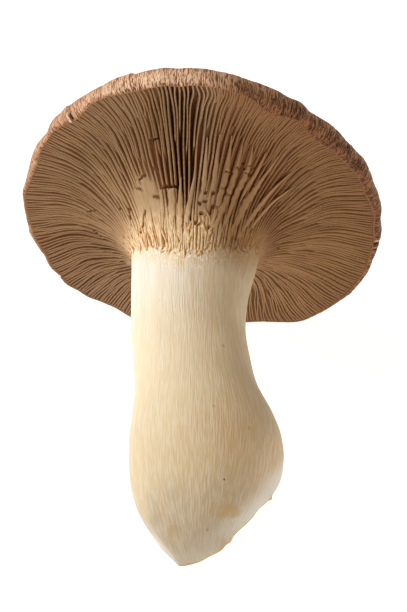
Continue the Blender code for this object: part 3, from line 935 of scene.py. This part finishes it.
def wide_band(stops):
    """A few gills grown together side by side: its points and marks, as gill_blade gives them."""
    t = np.linspace(0.0, len(stops) - 1.0, BAND_STEPS * (len(stops) - 1) + 1)
    degrees, share, wide = smooth([(k, *stop) for k, stop in enumerate(stops)], t)
    path = np.radians(degrees) + 0.006 * np.sin(9 * t + degrees) * ramp(wide, 1.2, 2.2)
    across, up = np.transpose(BAND_SECTION)
    blunt = 0.12 if stops[0][2] > 1.0 else 1.5
    ends = ramp(t, 0.0, blunt) * (1 - 0.7 * ramp(t, t[-1] - 0.8, t[-1]))
    high = np.where(up > 0, BAND_PROUD, BAND_SUNK) * up * column(0.2 + 0.8 * ends) - BAND_LOWERED
    high = high - column(CRACK_DEPTH * crack_share(path, share))
    points = swept(path, share, column(wide * MM / 2 * (0.7 + 0.3 * ends)) * across, -high)
    # Painted shade and highlight: the right of each crest and the sunk sides are marked deeper, so they are
    # painted darker; the top and left are marked worn, so they are painted paler, partly as the paler fused
    # flesh and partly as a painted highlight.
    deep = np.where(up > 0, np.where(across < -0.6, 0.16, 0.0), 0.3)
    worn = np.where((up > 0) & (across > -0.6), 0.9, 0.1)
    return points, column(share), deep, worn


def fringe_tooth(angle, low, high, width, height):
    """A narrow ridge that runs down over the collar and ends in a point."""
    t = np.linspace(0.0, 1.0, TOOTH_STEPS)
    share = low + (high - low) * t
    across, up = np.transpose(TOOTH_SECTION)
    swell = ramp(t, 0.0, 0.35) * (1 - 0.95 * ramp(t, 0.45, 1.0))
    lumps = 1 + 0.22 * np.sin(11 * t + 70 * angle) + 0.12 * np.sin(23 * t + 130 * angle)
    path = angle + 0.022 * np.sin(5 * t + 40 * angle) + 0.05 * (t - 0.5) * np.sin(29 * angle)
    offset = column(width * lumps * (0.2 + 0.8 * swell)) * across
    points = swept(path, share, offset, TOOTH_SUNK * (up < 0) - column(height * lumps * swell) * up)
    # Painted shade: one side of each tooth and its lower points are marked deeper, so they are painted
    # darker.
    deep = np.where(across < 0, 0.07, 0.0) + 0.05 * (up < 0.4)
    return points, column(share), deep, 0.0


def build_bands_and_fringe(material):
    """The bands of gills grown together, and the ragged ends of the gills over the collar."""
    draw = np.random.default_rng(SEED + 2)
    ridges = [wide_band(stops) for stops in BANDS]
    for i in range(FRINGES):
        angle = (i + draw.uniform(-0.35, 0.35)) * TURN / FRINGES
        low, high = draw.uniform(-0.1, 0.02), draw.uniform(0.04, 0.13)
        for middle, reach, more in FRINGE_REACH:
            high += more * np.exp(-((degrees_away(angle, middle) / reach) ** 2))
        wide, tall = draw.uniform(0.3, 0.85), draw.uniform(0.15, 0.42)
        ridges.append(fringe_tooth(angle, low, high, wide * MM, tall * MM))
    for _ in range(CRUMBS):
        low = draw.uniform(-0.09, 0.09)
        high = low + draw.uniform(0.025, 0.06)
        wide, tall = draw.uniform(0.35, 0.85), draw.uniform(0.2, 0.4)
        ridges.append(fringe_tooth(draw.uniform(0, TURN), low, high, wide * MM, tall * MM))
    points, faces, (share, deep, worn) = joined(ridges)
    new_piece("fringe", points, faces, material, "gills", share=share, deep=deep, worn=worn)


def skin_rows(angle):
    """The skin's lines round the cap, from a lip under the margin over the edge to the middle of the top."""
    out, up = smooth(EDGE, np.degrees(angle), 360)
    margin = margin_point(angle)
    radius = smooth(MARGIN, np.degrees(angle), 360)
    spread = [smooth(MARGIN, np.degrees(angle) + away, 360) for away in EDGE_SOFTENED]
    softer = np.mean(spread, axis=0) - radius + EDGE_WAVE * FIELDS["edge"](angle, 0.0)
    rows = [funnel_point(angle, LIP_FROM) + funnel_inward(angle, 0.98) * LIP_DEPTH]
    for out_share, up_share in EDGE_SECTION:
        off = out * out_share + softer * min(up_share * 2, 1.0)
        rows.append(margin + (outward(angle) * column(off) + raised(up * up_share)) * MM)
    reach = outward(angle) * column(radius + softer) * MM
    for share in TOP_SHARES:
        spot = reach * share
        height = CROWN_HEIGHT + (up * MM - CROWN_HEIGHT) * share ** 4
        dip = CROWN_DIP * math.exp(-((share / DIP_REACH) ** 2))
        rows.append(spot + raised(lean_height(spot) + height - dip))
    return np.stack(rows)


def round_the_edge(angle, middle):
    """How many millimetres an angle lies past a middle one, along the margin."""
    return degrees_away(angle, middle) * TURN / 360 * MARGIN_RADIUS


def edge_marks(angle, up):
    """How torn the skin is, with its pale lips below 0, and how far it stands out in millimetres."""
    torn, swollen = np.zeros(angle.shape), np.zeros(angle.shape)
    for middle, wide, deep in SPLITS:
        away = round_the_edge(angle, middle)
        reach = (1 - ramp(up, 0.55, 0.9)) * ramp(up, -0.1, 0.05)
        groove = np.exp(-((away / wide) ** 4) * 4) * reach
        uneven = wide * (1.1 + 0.5 * np.sin(9 * up) + 0.3 * np.sin(21 * up))
        lip = 0.8 * np.exp(-(((away - uneven) / (0.6 * wide)) ** 2)) * reach
        torn = torn + groove - lip
        swollen = swollen - deep * groove + 0.25 * lip
    for middle, wide, high in BUMPS:
        bump = np.exp(-((round_the_edge(angle, middle) / wide) ** 2))
        swollen = swollen + high * bump * ramp(up, 0.1, 0.6) * (1 - ramp(up, 1.2, 1.8))
    return np.clip(torn, -1, 1), swollen


def facing_out(points):
    """The direction out of the skin at each point of its grid."""
    normal = np.cross(np.roll(points, -1, 1) - np.roll(points, 1, 1), np.gradient(points, axis=0))
    normal /= np.maximum(np.linalg.norm(normal, axis=-1, keepdims=True), 1e-12)
    on_top = normal[len(normal) * 3 // 4, :, 2]
    return normal * np.sign(on_top.mean())


def build_skin(material):
    """The cap's skin with its radial fibrils in relief."""
    angle = np.arange(SKIN_COLUMNS) * TURN / SKIN_COLUMNS
    lines = skin_rows(angle)
    last = len(lines) - 1
    at = np.linspace(0, last, last * SKIN_STEPS + 1)
    stations = np.column_stack([np.arange(len(lines)), lines.reshape(len(lines), -1)])
    points = np.moveaxis(smooth(stations, at), 0, -1).reshape(len(at), SKIN_COLUMNS, 3)
    angle, at = np.broadcast_arrays(angle, at[:, None])
    up = (at - 1) / (len(EDGE_SECTION) - 1)
    torn, swollen = edge_marks(angle, up)
    fibrils, bumps = FIELDS["fibrils"](angle, at / last), FIELDS["bumps"](angle, at / last)
    relief = FIBRIL_RELIEF * fibrils + BUMP_RELIEF * bumps
    relief = relief * ramp(at, 0.8, 2.0) * (1 - ramp(at, 10.0, 11.5)) + swollen
    points = points + facing_out(points) * column(relief * MM)
    line = ramp(at, 0.5, 0.9) * (1 - ramp(at, 1.0, 1.25))
    faces = grid_faces(len(at), SKIN_COLUMNS)[:, ::-1]
    marks = {"line": line, "up": np.clip(up, 0, 1), "torn": torn}
    new_piece("cap_skin", points, faces, material, "cap_skin", **marks)


def build_stage():
    """A pale floor that glows a little, so that it comes out as white as the photo's ground."""
    mesh = bpy.data.meshes.new("floor")
    square = [(x * FLOOR_SIZE, y * FLOOR_SIZE, 0) for x, y in ((-1, -1), (1, -1), (1, 1), (-1, 1))]
    mesh.from_pydata(square, [], [(0, 1, 2, 3)])
    floor = bpy.data.objects.new("floor", mesh)
    bpy.context.scene.collection.objects.link(floor)
    floor.location.z = -FLOOR_DROP
    material = bpy.data.materials.new("floor")
    material.use_nodes = True
    shader = material.node_tree.nodes["Principled BSDF"]
    shader.inputs["Base Color"].default_value = (0.45, 0.45, 0.45, 1)
    shader.inputs["Roughness"].default_value = 0.9
    shader.inputs["Emission Color"].default_value = (1, 1, 1, 1)
    shader.inputs["Emission Strength"].default_value = FLOOR_GLOW
    mesh.materials.append(material)


def add_area_light(name, place, aim, size, power, colour):
    light = bpy.data.lights.new(name, "AREA")
    light.shape = "DISK"
    light.size = size
    light.energy = power
    light.color = colour
    lamp = bpy.data.objects.new(name, light)
    lamp.location = place
    lamp.rotation_euler = (Vector(aim) - Vector(place)).to_track_quat("-Z", "Y").to_euler()
    bpy.context.scene.collection.objects.link(lamp)


def build_light():
    """A key light from the left, a softer and warmer fill from the right, and a faint warm sky."""
    for light in LIGHTS:
        add_area_light(*light)
    world = bpy.data.worlds.new("studio")
    world.use_nodes = True
    background = world.node_tree.nodes["Background"]
    background.inputs["Color"].default_value = SKY_COLOUR
    background.inputs["Strength"].default_value = SKY_STRENGTH
    bpy.context.scene.world = world
    bpy.context.scene.view_settings.view_transform = "Standard"


def build_camera():
    """At the photograph's viewing angle: from the foot's side, looking down along +Y."""
    camera = bpy.data.objects.new("camera", bpy.data.cameras.new("camera"))
    camera.data.lens = CAMERA_LENS
    camera.data.sensor_width = 36.0
    camera.data.clip_end = 10.0
    back = Vector((0, -math.cos(CAMERA_RISE), math.sin(CAMERA_RISE)))
    camera.location = CAMERA_AIM + back * CAMERA_DISTANCE
    camera.rotation_euler = (math.pi / 2 - CAMERA_RISE, 0, 0)
    bpy.context.scene.collection.objects.link(camera)
    bpy.context.scene.camera = camera


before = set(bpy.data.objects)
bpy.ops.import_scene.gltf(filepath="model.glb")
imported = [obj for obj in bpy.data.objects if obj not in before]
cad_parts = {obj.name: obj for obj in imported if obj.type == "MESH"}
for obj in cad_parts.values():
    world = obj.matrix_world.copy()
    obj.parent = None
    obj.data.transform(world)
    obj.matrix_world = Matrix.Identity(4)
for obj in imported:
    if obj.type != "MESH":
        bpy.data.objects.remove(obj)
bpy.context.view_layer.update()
gills_look = gill_material()
build_stem(stem_material())
build_floor_of_gills(gills_look)
build_gills(gills_look)
build_bands_and_fringe(gills_look)
build_skin(skin_material())
build_stage()
build_light()
build_camera()
